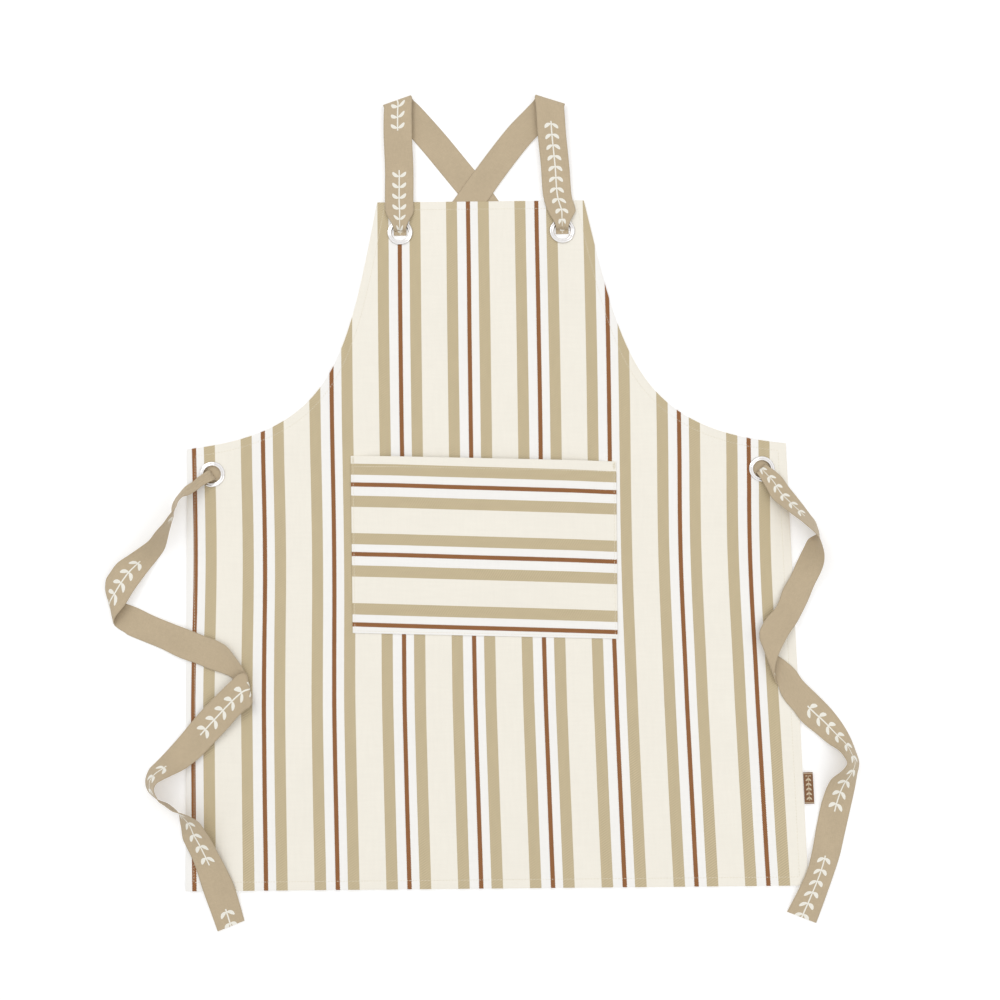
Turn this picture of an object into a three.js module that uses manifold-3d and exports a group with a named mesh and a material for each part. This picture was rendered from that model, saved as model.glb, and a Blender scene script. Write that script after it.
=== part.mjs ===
// A striped cotton kitchen apron with crossed shoulder straps, lying flat on its back.
// Millimetres, +Z up, +Y from the bottom hem towards the bib. The origin is the middle of the
// bottom hem, on its underside. Left and right are those of someone looking down at the front.
import * as THREE from "three";
import { mergeVertices } from "three/addons/utils/BufferGeometryUtils.js";
import Module from "manifold-3d";

// --- driving dimensions ---
const PANEL_LENGTH = 800; // bottom edge to bib top edge
const BIB_WIDTH = 247; // across the bib's top edge
const SKIRT_WIDTH = 700;
const WAIST_Y = 498; // where the arm curves meet the sides
const ARM_PULL_TOP = [162, 605]; // the arm curve's two control points, right-hand side
const ARM_PULL_WAIST = [175, 516];
const HEM = 11; // width of every turned hem
const LAY_SKEW = -0.015; // the cloth lies a little askew: rise of y for each unit of x

const CLOTH_BOTTOM = 2.2; // the front cloth lies on its hems and on the straps behind it
const CLOTH_TOP = 3.0;
const HEM_TOP = 2.0;
const THREAD = 0.5; // width of a row of stitching
const THREAD_RISE = 0.3;

const TAPE_WIDTH = 34;
const TAPE_THICKNESS = 0.8;
const TAPE_CUT = 0.04; // gap between two lengths of one tape, as a share of a station
const LEFT_TIE_LENGTHS = [0, 9, 18, 27, 34, 41, 52, 62]; // each tie is laid in these lengths
const RIGHT_TIE_LENGTHS = [0, 8, 16, 25, 32, 39, 45];

const POCKET_LEFT = -158.5;
const POCKET_TOP_RIGHT = 151;
const POCKET_BOTTOM_RIGHT = 145.5;
const POCKET_TOP_Y = 483; // on the pocket's line x = 0
const POCKET_HEIGHT = 206;
const POCKET_SKEW = -0.0465; // the pocket is sewn on askew
const POCKET_SEAM = 4;
const POCKET_SKIN = [8.3, 9.1]; // the front cloth of the open pocket
const GAP = 0.3;

const EYELET_HOLE = 9.5; // radii of the eyelet and of its washer behind
const EYELET_BARREL = 10;
const EYELET_FLANGE = 15.5;
const FLANGE_TOP = 4.5;
const WASHER = [1.2, 1.95];
const BIB_EYELET = [96.7, 757];
const SIDE_EYELET = [320.5, 467.8];

const STRAP_FOLD_Y = PANEL_LENGTH - HEM / 2 + 2; // the straps fold over just past the bib's edge
const STRAP_START_Y = STRAP_FOLD_Y + 1.5;
const LABEL = { x0: 350.6, x1: 361.5, y0: 79, y1: 114.5 };

const TOP_Y = PANEL_LENGTH - HEM / 2;
const BOTTOM_Y = -HEM / 2;
const STRAP_END_Y = TOP_Y - HEM - 2.3; // the straps behind stop short of the bib's top hem

// --- routes of the tapes ---
// Each station is the tape's two edges, [x, y, z, x, y, z], and how far its middle bows out.
const LEFT_TIE = [
  [-316, 466, 1.4, -323, 478, 1.4, 0],
  [-317, 466, 4.6, -324, 478, 4.6, 0],
  [-320, 464, 9, -328, 475, 6.2, 0],
  [-329, 459, 12, -337, 469, 5.4, 0],
  [-337, 452, 15, -343, 464, 5.3, 0],
  [-344, 447, 20, -351, 459, 5.3, 0],
  [-350, 444, 26, -358, 451, 5, 0],
  [-354, 438, 30, -363, 445, 3.8, 0],
  [-356, 432, 31.6, -367, 438, 2.2, 1],
  [-359, 428, 32, -368, 431, 1.2, 2],
  [-364, 422, 32, -366, 426, 0.8, 2],
  [-370, 414, 31, -368, 417, 0.8, 1],
  [-379, 405, 29, -371, 405, 0.8, 0],
  [-388, 395, 25, -376, 387, 0.8, 0],
  [-401, 387, 19, -384, 375, 1.5, 0],
  [-415, 379, 14, -393, 363, 4, 0],
  [-428, 371, 11, -402, 350, 6.5, 0],
  [-436, 361, 9.8, -410, 338, 8.6, 0],
  [-441, 353, 9.4, -419, 323, 9.2, 0],
  [-442, 346, 9, -430, 309, 9.2, 0],
  [-443, 341, 4.9, -433, 303, 4.9, 0],
  [-442, 335, 1.2, -432, 299, 1.2, 0],
  [-431, 329, 1, -427, 295, 0.9, 0],
  [-421, 325, 0.9, -422, 292, 0.8, 0],
  [-408, 320, 0.9, -418, 289, 0.8, 0],
  [-388, 310, 1.8, -400, 281, 1.2, 0],
  [-367, 301, 3.4, -379, 272, 2, 0],
  [-347, 293, 5.4, -357, 261, 3.8, 0],
  [-328, 285, 6, -338, 254, 4.8, 0],
  [-313, 279, 6.5, -322, 247, 4.6, 0],
  [-302, 272, 7.5, -308, 242, 4.4, 0],
  [-295, 263, 8, -299, 238, 4.2, 0],
  [-289, 255, 8, -289, 227, 4.2, 0],
  [-284, 247, 7, -282, 217, 4.2, 0],
  [-281, 242, 5, -277, 211, 4.2, 0],
  [-279, 239, 8.4, -273, 209, 8.2, 0],
  [-280, 241, 12.2, -274, 205, 12.2, 0],
  [-287, 241, 12.2, -277, 202, 12, 0],
  [-297, 233, 11.4, -281, 200, 11, 0],
  [-308, 223, 10.4, -288, 194, 10, 0],
  [-326, 206, 8, -302, 179, 8.6, 0],
  [-343, 188, 5.4, -318, 163, 7, 0],
  [-358, 171, 2.4, -333, 148, 7, 0],
  [-372, 156, 1, -349, 136, 10, 1],
  [-385, 143, 0.8, -363, 129, 18, 1],
  [-392, 136, 0.8, -371, 125, 25, 1],
  [-396, 126, 0.8, -377, 121, 30, 1],
  [-396, 118, 0.8, -379, 116, 32, 0],
  [-393, 111, 0.8, -378, 111, 33, 0],
  [-388, 106, 0.8, -376, 107, 33, 0],
  [-381, 101, 0.8, -373, 102, 33, 0],
  [-371, 97, 0.8, -366, 97, 33, 0],
  [-363, 91, 0.8, -358, 91, 32, 0],
  [-358, 85, 0.8, -351, 89, 31, 0],
  [-357, 78, 0.8, -341, 85, 28, 0],
  [-355, 69, 1.8, -331, 78, 24, 0],
  [-353, 58, 3.4, -325, 68, 19, 0],
  [-348, 48, 4.7, -319, 57, 14, 0],
  [-342, 36, 4.6, -312, 42, 10, 0],
  [-335, 17, 4.4, -303, 24, 7, 0],
  [-329, -2, 4.2, -295, 6, 5.4, 0],
  [-321, -25, 2, -289, -15, 2.4, 0],
  [-314, -45, 0.8, -284, -34, 0.8, 0],
];
const RIGHT_TIE = [
  [314, 458, 1.4, 325, 468, 1.4, 0],
  [314, 458, 4.6, 325, 468, 4.6, 0],
  [318, 451, 6.4, 331, 463, 6.4, 0],
  [323, 441, 9, 342, 453, 6.2, 0],
  [329, 427, 13, 350, 441, 5.6, 0],
  [338, 417, 19, 359, 429, 4.8, 0],
  [347, 408, 25, 367, 419, 2.5, 0],
  [357, 399, 29, 374, 409, 1, 0],
  [365, 391, 31, 380, 400, 0.8, 1],
  [371, 385, 32.5, 382, 393, 0.8, 1],
  [375, 380, 33, 383, 387, 0.8, 1],
  [378, 374, 32, 378, 384, 0.8, 1],
  [381, 366, 29, 371, 380, 0.8, 0],
  [383, 358, 24, 365, 370, 0.8, 0],
  [383, 349, 18, 360, 361, 0.8, 0],
  [380, 339, 12, 354, 350, 2.2, 0],
  [373, 325, 7.5, 347, 337, 5.2, 0],
  [366, 309, 5, 338, 323, 6, 0],
  [357, 293, 6.5, 329, 303, 7.6, 0],
  [350, 282, 8, 316, 289, 8.6, 0],
  [342, 272, 9.4, 309, 278, 9.6, 0],
  [335, 261, 10.4, 307, 273, 10.4, 0],
  [328, 248, 10.8, 307, 271, 10.8, 0],
  [324, 237, 10.8, 307, 269, 10.8, 0],
  [322, 225, 10.6, 307, 267, 10.6, 0],
  [324, 216, 7.5, 308, 266, 7.5, 0],
  [326, 214, 4.2, 310, 265, 4.2, 0],
  [327, 212, 4.2, 319, 255, 4.2, 0],
  [328, 208, 4.2, 329, 246, 4.2, 0],
  [330, 202, 4.2, 338, 239, 4.2, 0],
  [334, 195, 4.2, 348, 229, 4.2, 0],
  [342, 185, 4.3, 355, 218, 4.2, 0],
  [352, 171, 4.2, 372, 200, 4.2, 0],
  [368, 157, 3, 387, 184, 1.4, 0],
  [380, 146, 6, 399, 167, 0.8, 1],
  [389, 139, 15, 407, 151, 0.8, 2],
  [393, 132, 24, 412, 136, 0.8, 2],
  [395, 125, 28, 415, 124, 0.8, 2],
  [390, 117, 25, 412, 110, 0.8, 2],
  [379, 106, 14, 408, 93, 0.8, 1],
  [371, 85, 4, 402, 72, 0.8, 0],
  [363, 55, 1.4, 394, 44, 0.8, 0],
  [356, 28, 4.2, 387, 20, 0.8, 0],
  [349, 6, 4.6, 379, 0, 1.6, 0],
  [337, -17, 4.2, 369, -24, 1.6, 0],
  [325, -39, 0.8, 357, -52, 0.8, 0],
];
const LEFT_SHOULDER = [
  [-21, STRAP_START_Y, 0.45, 21.4, STRAP_START_Y, 0.45, 0],
  [-70.8, 863.2, 0.5, -43.8, 883.8, 0.5, 0],
  [-104, 904, 0.5, -71, 916.6, 0.5, 0],
  [-112.8, 913.2, 0.9, -78.8, 924.8, 0.9, 0],
  [-114.8, 917.6, 3.3, -80.8, 929.2, 3.3, 0],
  [-113.4, 913.2, 6.1, -79.4, 924.8, 6.1, 0],
  [-113.9, 903, 6.2, -79.9, 914, 6.2, 0],
  [-114.3, 880, 6, -80.3, 880, 6, 0],
  [-113.3, 835, 5.2, -79.3, 835, 5.2, 0],
  [-113.7, STRAP_START_Y, 4.4, -79.7, STRAP_START_Y, 4.4, 0],
];
const RIGHT_SHOULDER = [
  [7.4, STRAP_START_Y, 1.4, -35, STRAP_START_Y, 1.4, 0],
  [63.5, 867.5, 1.4, 36.5, 887.5, 1.4, 0],
  [94, 899, 1.4, 60.5, 912.2, 1.4, 0],
  [103, 909, 1.45, 68.4, 921.4, 1.45, 0],
  [104.6, 913.4, 4.2, 69.6, 925.6, 4.2, 0],
  [103.4, 909, 7, 68.4, 921.4, 7, 0],
  [103.8, 898, 7, 69.4, 910, 7, 0],
  [104.6, 876, 6.6, 70.6, 876, 6.6, 0],
  [107.4, 835, 5.4, 73.4, 835, 5.4, 0],
  [109.6, STRAP_START_Y, 4.4, 75.6, STRAP_START_Y, 4.4, 0],
];
// Middle lines of the straps behind the bib, [x, y, z, width].
const BACK_FROM_LEFT = [
  [11, STRAP_END_Y, 0.45, 42],
  [40, 745, 0.45, 34],
  [75, 690, 0.45, 34],
  [105, 640, 0.45, 34],
  [138, 588, 0.45, 34],
  [180, 535, 0.45, 34],
  [232, 493, 0.45, 34],
  [280, 473, 0.45, 30],
  [312, 465, 0.45, 16],
];
const BACK_FROM_RIGHT = [
  [-20, STRAP_END_Y, 1.4, 42],
  [-48, 745, 0.9, 34],
  [-80, 690, 0.45, 34],
  [-108, 640, 0.45, 34],
  [-140, 588, 0.45, 34],
  [-180, 535, 0.45, 34],
  [-232, 493, 0.45, 34],
  [-280, 473, 0.45, 30],
  [-312, 470, 0.45, 16],
];

// --- materials ---
const ivoryCloth = material(0xeee9dc, 0.92, 0);
const taupeTape = material(0xa8997e, 0.88, 0);
const whiteThread = material(0xf4f1e8, 0.8, 0);
const nickel = material(0xc9cacb, 0.22, 1);
const brownLabel = material(0x6d4a36, 0.85, 0);

function material(color, roughness, metalness) {
  return new THREE.MeshStandardMaterial({ color, roughness, metalness });
}

const wasm = await Module();
wasm.setup();

function toSolid(geometry) {
  const bare = geometry.clone();
  bare.deleteAttribute("normal");
  bare.deleteAttribute("uv");
  const merged = mergeVertices(bare, 1e-4);
  return new wasm.Manifold(
    new wasm.Mesh({
      numProp: 3,
      vertProperties: new Float32Array(merged.attributes.position.array),
      triVerts: new Uint32Array(merged.index.array),
    }),
  );
}

function toGeometry(solid) {
  const mesh = solid.getMesh();
  return new THREE.BufferGeometry()
    .setAttribute("position", new THREE.BufferAttribute(mesh.vertProperties, 3))
    .setIndex(new THREE.BufferAttribute(mesh.triVerts, 1));
}

function cutFrom(geometry, cutter) {
  return toGeometry(toSolid(geometry).subtract(toSolid(cutter)));
}

// Shears a geometry in its plane, as cloth lies askew.
function skewed(geometry, skew = LAY_SKEW) {
  const shear = new THREE.Matrix4().set(1, 0, 0, 0, skew, 1, 0, 0, 0, 0, 1, 0, 0, 0, 0, 1);
  return geometry.applyMatrix4(shear);
}

function slab(shape, bottom, top, curveSegments = 24) {
  const depth = top - bottom;
  const flat = new THREE.ExtrudeGeometry(shape, { depth, bevelEnabled: false, curveSegments });
  return flat.translate(0, 0, bottom);
}

function polygon(points) {
  return new THREE.Shape(points.map(([x, y]) => new THREE.Vector2(x, y)));
}

// --- the cloth ---
const armCurve = new THREE.CubicBezierCurve(
  new THREE.Vector2(BIB_WIDTH / 2, TOP_Y),
  new THREE.Vector2(...ARM_PULL_TOP),
  new THREE.Vector2(...ARM_PULL_WAIST),
  new THREE.Vector2(SKIRT_WIDTH / 2, WAIST_Y),
);

function eyeletPlaces() {
  return [
    ["bib_left", -BIB_EYELET[0], BIB_EYELET[1]],
    ["bib_right", BIB_EYELET[0], BIB_EYELET[1]],
    ["side_left", -SIDE_EYELET[0], SIDE_EYELET[1]],
    ["side_right", SIDE_EYELET[0], SIDE_EYELET[1]],
  ].map(([name, x, y]) => ({ name, x, y: y + LAY_SKEW * x }));
}

function panelGeometry() {
  const right = armCurve.getPoints(24);
  const left = [...right].reverse().map((p) => new THREE.Vector2(-p.x, p.y));
  const half = SKIRT_WIDTH / 2;
  const foot = [new THREE.Vector2(half, BOTTOM_Y), new THREE.Vector2(-half, BOTTOM_Y)];
  const outline = new THREE.Shape([...right, ...foot, ...left].reverse());
  let cloth = skewed(slab(outline, CLOTH_BOTTOM, CLOTH_TOP));
  for (const { x, y } of eyeletPlaces()) {
    const punch = new THREE.CylinderGeometry(EYELET_BARREL + GAP, EYELET_BARREL + GAP, 4, 36);
    punch.rotateX(Math.PI / 2).translate(x, y, CLOTH_TOP);
    cloth = cutFrom(cloth, punch);
  }
  return cloth;
}

// A hem's turned layers or a row of stitches along an arm curve, from one inset to another.
function alongArm(from, to, bottom, top, side) {
  const steps = 24;
  const edge = [];
  const inner = [];
  for (let i = 0; i <= steps; i++) {
    const point = armCurve.getPoint(i / steps);
    const tangent = armCurve.getTangent(i / steps);
    const inwards = new THREE.Vector2(tangent.y, -tangent.x);
    edge.push(point.clone().addScaledVector(inwards, from));
    inner.push(point.clone().addScaledVector(inwards, to));
  }
  const ring = [...edge, ...inner.reverse()];
  const shape = new THREE.Shape(ring.map((p) => new THREE.Vector2(side * p.x, p.y)));
  return skewed(slab(shape, bottom, top));
}

function box(x0, x1, y0, y1, z0, z1) {
  return slab(polygon([[x0, y0], [x1, y0], [x1, y1], [x0, y1]]), z0, z1);
}

// --- the pocket: its front cloth stands clear of the panel and is closed on three sides ---
function pocketOutline(inset, rise) {
  const foot = POCKET_TOP_Y - POCKET_HEIGHT + inset;
  const head = POCKET_TOP_Y + rise;
  return polygon([
    [POCKET_LEFT + inset, foot],
    [POCKET_BOTTOM_RIGHT - inset, foot],
    [POCKET_TOP_RIGHT - inset, head],
    [POCKET_LEFT + inset, head],
  ]);
}

function pocketGeometry() {
  const [skinBottom, skinTop] = POCKET_SKIN;
  const block = slab(pocketOutline(0, 0), CLOTH_TOP + GAP, skinTop);
  const hollow = slab(pocketOutline(POCKET_SEAM, 5), CLOTH_TOP, skinBottom);
  return skewed(cutFrom(block, hollow), POCKET_SKEW);
}

// Stitches down one side of the pocket, along its foot and up the other side.
function pocketStitching() {
  const outer = pocketOutline(2, -2);
  const thread = slab(outer, POCKET_SKIN[1] + 0.2, POCKET_SKIN[1] + 0.2 + THREAD_RISE);
  const inside = slab(pocketOutline(2 + THREAD, 5), POCKET_SKIN[1], POCKET_SKIN[1] + 1);
  return skewed(cutFrom(thread, inside), POCKET_SKEW);
}

// --- tapes ---
// A flat closed band whose two edges follow the stations; its middle bows out of their plane.
// It may be one length of a longer tape, from station number first to station number last.
function tape(stations, stepsEach = 2, first = 0, last = stations.length - 1) {
  const steps = (last - first) * stepsEach;
  const joint = last < stations.length - 1 ? TAPE_CUT : 0;
  const edgeCurve = (at) =>
    new THREE.CatmullRomCurve3(stations.map((s) => new THREE.Vector3(s[at], s[at + 1], s[at + 2])));
  const edges = [edgeCurve(0), edgeCurve(3)];
  const bow = (t) => {
    const place = t * (stations.length - 1);
    const i = Math.min(Math.floor(place), stations.length - 2);
    return THREE.MathUtils.lerp(stations[i][6], stations[i + 1][6], place - i);
  };
  const band = new THREE.BoxGeometry(2, TAPE_THICKNESS, 1, 2, 1, steps);
  const position = band.getAttribute("position");
  for (let i = 0; i < position.count; i++) {
    const along = first + (last - joint - first) * (position.getZ(i) + 0.5);
    const t = along / (stations.length - 1);
    const near = edges.map((edge) => edge.getPoint(t));
    const before = edges.map((edge) => edge.getPoint(Math.max(t - 0.002, 0)));
    const after = edges.map((edge) => edge.getPoint(Math.min(t + 0.002, 1)));
    const heading = after[0].add(after[1]).sub(before[0]).sub(before[1]);
    const across = near[1].clone().sub(near[0]);
    const normal = heading.cross(across).normalize();
    const share = (position.getX(i) + 1) / 2;
    const out = position.getY(i) + bow(t) * (1 - (2 * share - 1) ** 2);
    const place = near[0].lerp(near[1], share).addScaledVector(normal, out);
    position.setXYZ(i, place.x, place.y, place.z);
  }
  // Both faces are split along the same diagonals, so a twisted tape keeps its thickness.
  const index = band.getIndex().array;
  const under = band.groups[3];
  for (let i = under.start; i < under.start + under.count; i += 6) {
    const [a, b, d, , c] = index.slice(i, i + 6);
    index.set([a, b, c, a, c, d], i);
  }
  return band;
}

// Stations of a tape that lies flat along a middle line of [x, y, z, width].
function flatStations(line) {
  return line.map(([x, y, z, width], i) => {
    const [x0, y0] = line[Math.max(i - 1, 0)];
    const [x1, y1] = line[Math.min(i + 1, line.length - 1)];
    const run = Math.hypot(x1 - x0, y1 - y0);
    const level = i === 0; // the first end is cut along the bib's hem
    const dx = level ? (Math.sign(y1 - y0) * -width) / 2 : (((y1 - y0) / run) * -width) / 2;
    const dy = level ? 0 : (((x1 - x0) / run) * width) / 2;
    return [x - dx, y - dy, z, x + dx, y + dy, z, 0];
  });
}

// The strap's end in front: from the bib's edge over the eyelet's flange and down its hole.
function frontTabStations(x, y) {
  const rows = [
    [STRAP_FOLD_Y - 6 - y, 17, 4.2],
    [24, 16.4, 4.3],
    [17, 13, 5.6],
    [11.5, 10, 6],
    [6.5, 8, 6],
    [3.5, 7.6, 4.6],
    [2.5, 7.6, 1.7],
  ];
  return rows.map(([dy, half, z]) => [x + half, y + dy, z, x - half, y + dy, z, 0]);
}

// The same strap behind: from under the hole to where it is sewn, at the bib's top hem.
function loopStations(x, y) {
  const rows = [[-3, 7.5], [6, 8], [13, 11], [19, 16], [STRAP_END_Y - y, 17]];
  return rows.map(([dy, half]) => [x + half, y + dy, 0.45, x - half, y + dy, 0.45, 0]);
}

// --- eyelets ---
function lathe(profile) {
  const closed = [...profile, profile[0]].map(([r, z]) => new THREE.Vector2(r, z));
  return new THREE.LatheGeometry(closed, 36).rotateX(Math.PI / 2);
}

function eyeletGeometry() {
  const [foot, under] = [WASHER[0], CLOTH_TOP + GAP];
  return lathe([
    [EYELET_HOLE, foot],
    [EYELET_BARREL, foot],
    [EYELET_BARREL, under],
    [EYELET_FLANGE, under],
    [EYELET_FLANGE - 1, FLANGE_TOP - 0.3],
    [EYELET_FLANGE - 3, FLANGE_TOP],
    [EYELET_HOLE + 1, FLANGE_TOP],
    [EYELET_HOLE, FLANGE_TOP - 0.8],
  ]);
}

function washerGeometry() {
  const inside = EYELET_BARREL + GAP;
  const [foot, top] = WASHER;
  return lathe([[inside, foot], [EYELET_FLANGE, foot], [EYELET_FLANGE, top], [inside, top]]);
}

// --- assembly ---
const apron = new THREE.Group();

function add(name, geometry, look, x = 0, y = 0) {
  const mesh = new THREE.Mesh(geometry, look);
  mesh.name = name;
  mesh.position.set(x, y, 0);
  apron.add(mesh);
}

add("apron_panel", panelGeometry(), ivoryCloth);
add("pocket", pocketGeometry(), ivoryCloth);
add("pocket_stitching", pocketStitching(), whiteThread);

const halfSkirt = SKIRT_WIDTH / 2;
const threadTop = CLOTH_TOP + 0.2 + THREAD_RISE;
const bibHemHalf = BIB_WIDTH / 2 - HEM - 1;
const seamIn = HEM - 1.5; // how far the stitching runs from the edge
add("bottom_hem", skewed(box(-halfSkirt, halfSkirt, BOTTOM_Y, BOTTOM_Y + HEM, 0, HEM_TOP)), ivoryCloth);
add("bib_top_hem", skewed(box(-bibHemHalf, bibHemHalf, TOP_Y - HEM, TOP_Y, 0, HEM_TOP)), ivoryCloth);
const rowY = [BOTTOM_Y + seamIn, TOP_Y - seamIn];
const hemRow = (half, y) => skewed(box(-half, half, y, y + THREAD, CLOTH_TOP + 0.2, threadTop));
add("bottom_hem_stitching", hemRow(halfSkirt - HEM - 1, rowY[0]), whiteThread);
add("bib_top_hem_stitching", hemRow(bibHemHalf, rowY[1]), whiteThread);
for (const [side, name] of [[-1, "left"], [1, "right"]]) {
  const [sideBottom, sideTop] = [BOTTOM_Y + HEM + GAP, WAIST_Y - HEM - 2];
  const edge = side * halfSkirt;
  const seamX = edge - side * seamIn;
  const hem = box(...[edge - side * HEM, edge].sort((a, b) => a - b), sideBottom, sideTop, 0, HEM_TOP);
  const seam = [seamX - THREAD / 2, seamX + THREAD / 2];
  const row = box(...seam, sideBottom, sideTop, CLOTH_TOP + 0.2, threadTop);
  add(`${name}_side_hem`, skewed(hem), ivoryCloth);
  add(`${name}_side_hem_stitching`, skewed(row), whiteThread);
  add(`${name}_arm_hem`, alongArm(0, HEM, 0, HEM_TOP, side), ivoryCloth);
  const armRow = alongArm(seamIn, seamIn + THREAD, CLOTH_TOP + 0.2, threadTop, side);
  add(`${name}_arm_hem_stitching`, armRow, whiteThread);
}

for (const { name, x, y } of eyeletPlaces()) {
  add(`eyelet_${name}`, eyeletGeometry(), nickel, x, y);
  add(`washer_${name}`, washerGeometry(), nickel, x, y);
}

for (const { name, x, y } of eyeletPlaces().slice(0, 2)) {
  const side = name.slice(4);
  add(`${side}_strap_front`, tape(frontTabStations(x, y)), taupeTape);
  add(`${side}_strap_sewn_end`, tape(loopStations(x, y)), taupeTape);
}
add("left_shoulder_strap", tape(LEFT_SHOULDER, 3), taupeTape);
add("right_shoulder_strap", tape(RIGHT_SHOULDER, 3), taupeTape);
add("back_strap_from_left", tape(flatStations(BACK_FROM_LEFT)), taupeTape);
add("back_strap_from_right", tape(flatStations(BACK_FROM_RIGHT)), taupeTape);
for (const [name, route, cuts] of [
  ["left_tie", LEFT_TIE, LEFT_TIE_LENGTHS],
  ["right_tie", RIGHT_TIE, RIGHT_TIE_LENGTHS],
]) {
  for (let i = 0; i < cuts.length - 1; i++) {
    add(`${name}_${i + 1}`, tape(route, 3, cuts[i], cuts[i + 1]), taupeTape);
  }
}
add("side_label", box(LABEL.x0, LABEL.x1, LABEL.y0, LABEL.y1, CLOTH_BOTTOM, CLOTH_TOP), brownLabel);

export default apron;
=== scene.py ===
import math

import bpy
import numpy as np
from mathutils import Matrix, Vector, geometry


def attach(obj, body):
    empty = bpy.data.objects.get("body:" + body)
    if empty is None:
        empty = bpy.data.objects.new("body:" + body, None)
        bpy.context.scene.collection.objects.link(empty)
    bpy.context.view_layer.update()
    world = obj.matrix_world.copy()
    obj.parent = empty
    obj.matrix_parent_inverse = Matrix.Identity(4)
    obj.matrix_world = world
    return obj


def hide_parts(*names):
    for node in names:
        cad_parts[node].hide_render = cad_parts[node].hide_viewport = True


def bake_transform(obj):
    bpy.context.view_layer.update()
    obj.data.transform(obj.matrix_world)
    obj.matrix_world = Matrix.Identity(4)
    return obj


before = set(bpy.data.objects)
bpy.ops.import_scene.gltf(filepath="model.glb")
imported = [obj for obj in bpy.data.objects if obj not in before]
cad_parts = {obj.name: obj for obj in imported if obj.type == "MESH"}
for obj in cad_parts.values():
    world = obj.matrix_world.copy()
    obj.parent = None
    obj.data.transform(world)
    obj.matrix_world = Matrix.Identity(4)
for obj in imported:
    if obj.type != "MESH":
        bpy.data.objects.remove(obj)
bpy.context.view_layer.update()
rng = np.random.default_rng(7)

MM = 0.001

# ---- camera
CAM_RIGHT = Vector((0.99969, -0.0247, -0.0031))
CAM_UP = Vector((0.0249, 0.9919, 0.1248))
CAM_BACK = Vector((0.0, -0.1248, 0.9922))
CAM_PLACE = Vector((0.0145, 0.2326, 1.6055))

camera_data = bpy.data.cameras.new("camera")
camera_data.lens = 50
camera_data.sensor_width = 36
camera_data.clip_start = 0.01
camera_data.clip_end = 50
camera = bpy.data.objects.new("camera", camera_data)
turn = Matrix((CAM_RIGHT, CAM_UP, CAM_BACK)).transposed().to_4x4()
camera.matrix_world = Matrix.Translation(CAM_PLACE) @ turn
bpy.context.collection.objects.link(camera)
bpy.context.scene.camera = camera
bpy.context.scene.view_settings.view_transform = "Standard"

# ---- sizes, in millimetres
TOP_Y, BOTTOM_Y = 794.5, -5.5
HALF_SKIRT = 350.0
WAIST_Y = 498.0
LAY_SKEW = -0.015
ARM = [(123.5, 794.5), (162.0, 605.0), (175.0, 516.0), (350.0, 498.0)]
HEM = 11.0
SEAM_IN = 9.6
EYELET_R = 10.2  # radius of the holes in the cloth
HOLE_POINTS = 44
BIB_EYELET = (96.7, 757.0)
SIDE_EYELET = (320.5, 467.8)
CLOTH_THICKNESS = 0.75
CLOTH_TOP = 3.0
HEM_END = 349.0  # half the length of the bottom hem
BIB_END = 111.0  # half the length of the bib's top hem
TAPE_WIDTH = 34.0
TAPE_STEP = 1.6  # length of one row of a tape's faces
PRINT_RUN, PRINT_REPEAT = 133.0, 180.0  # length of a run of the print, and the spacing of runs along the tape
LABEL_BOX = (350.7, 361.3, 79.2, 114.3)  # x from and to, y from and to

STRIPE_REPEAT = 81.1  # from one rust cord to the next
STRIPE_START = 19.5  # the rust cord next to the middle is this far left of it, at the bottom
# the stripes' widths and places across one repeat, in metres from its cord
CORD_HALF = 0.0025
BAND_HALF = 0.0065
BAND_RIGHT, BAND_LEFT = 0.018, 0.0196
WHITE_MIDDLE, WHITE_HALF = -0.0008, 0.0125


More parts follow.
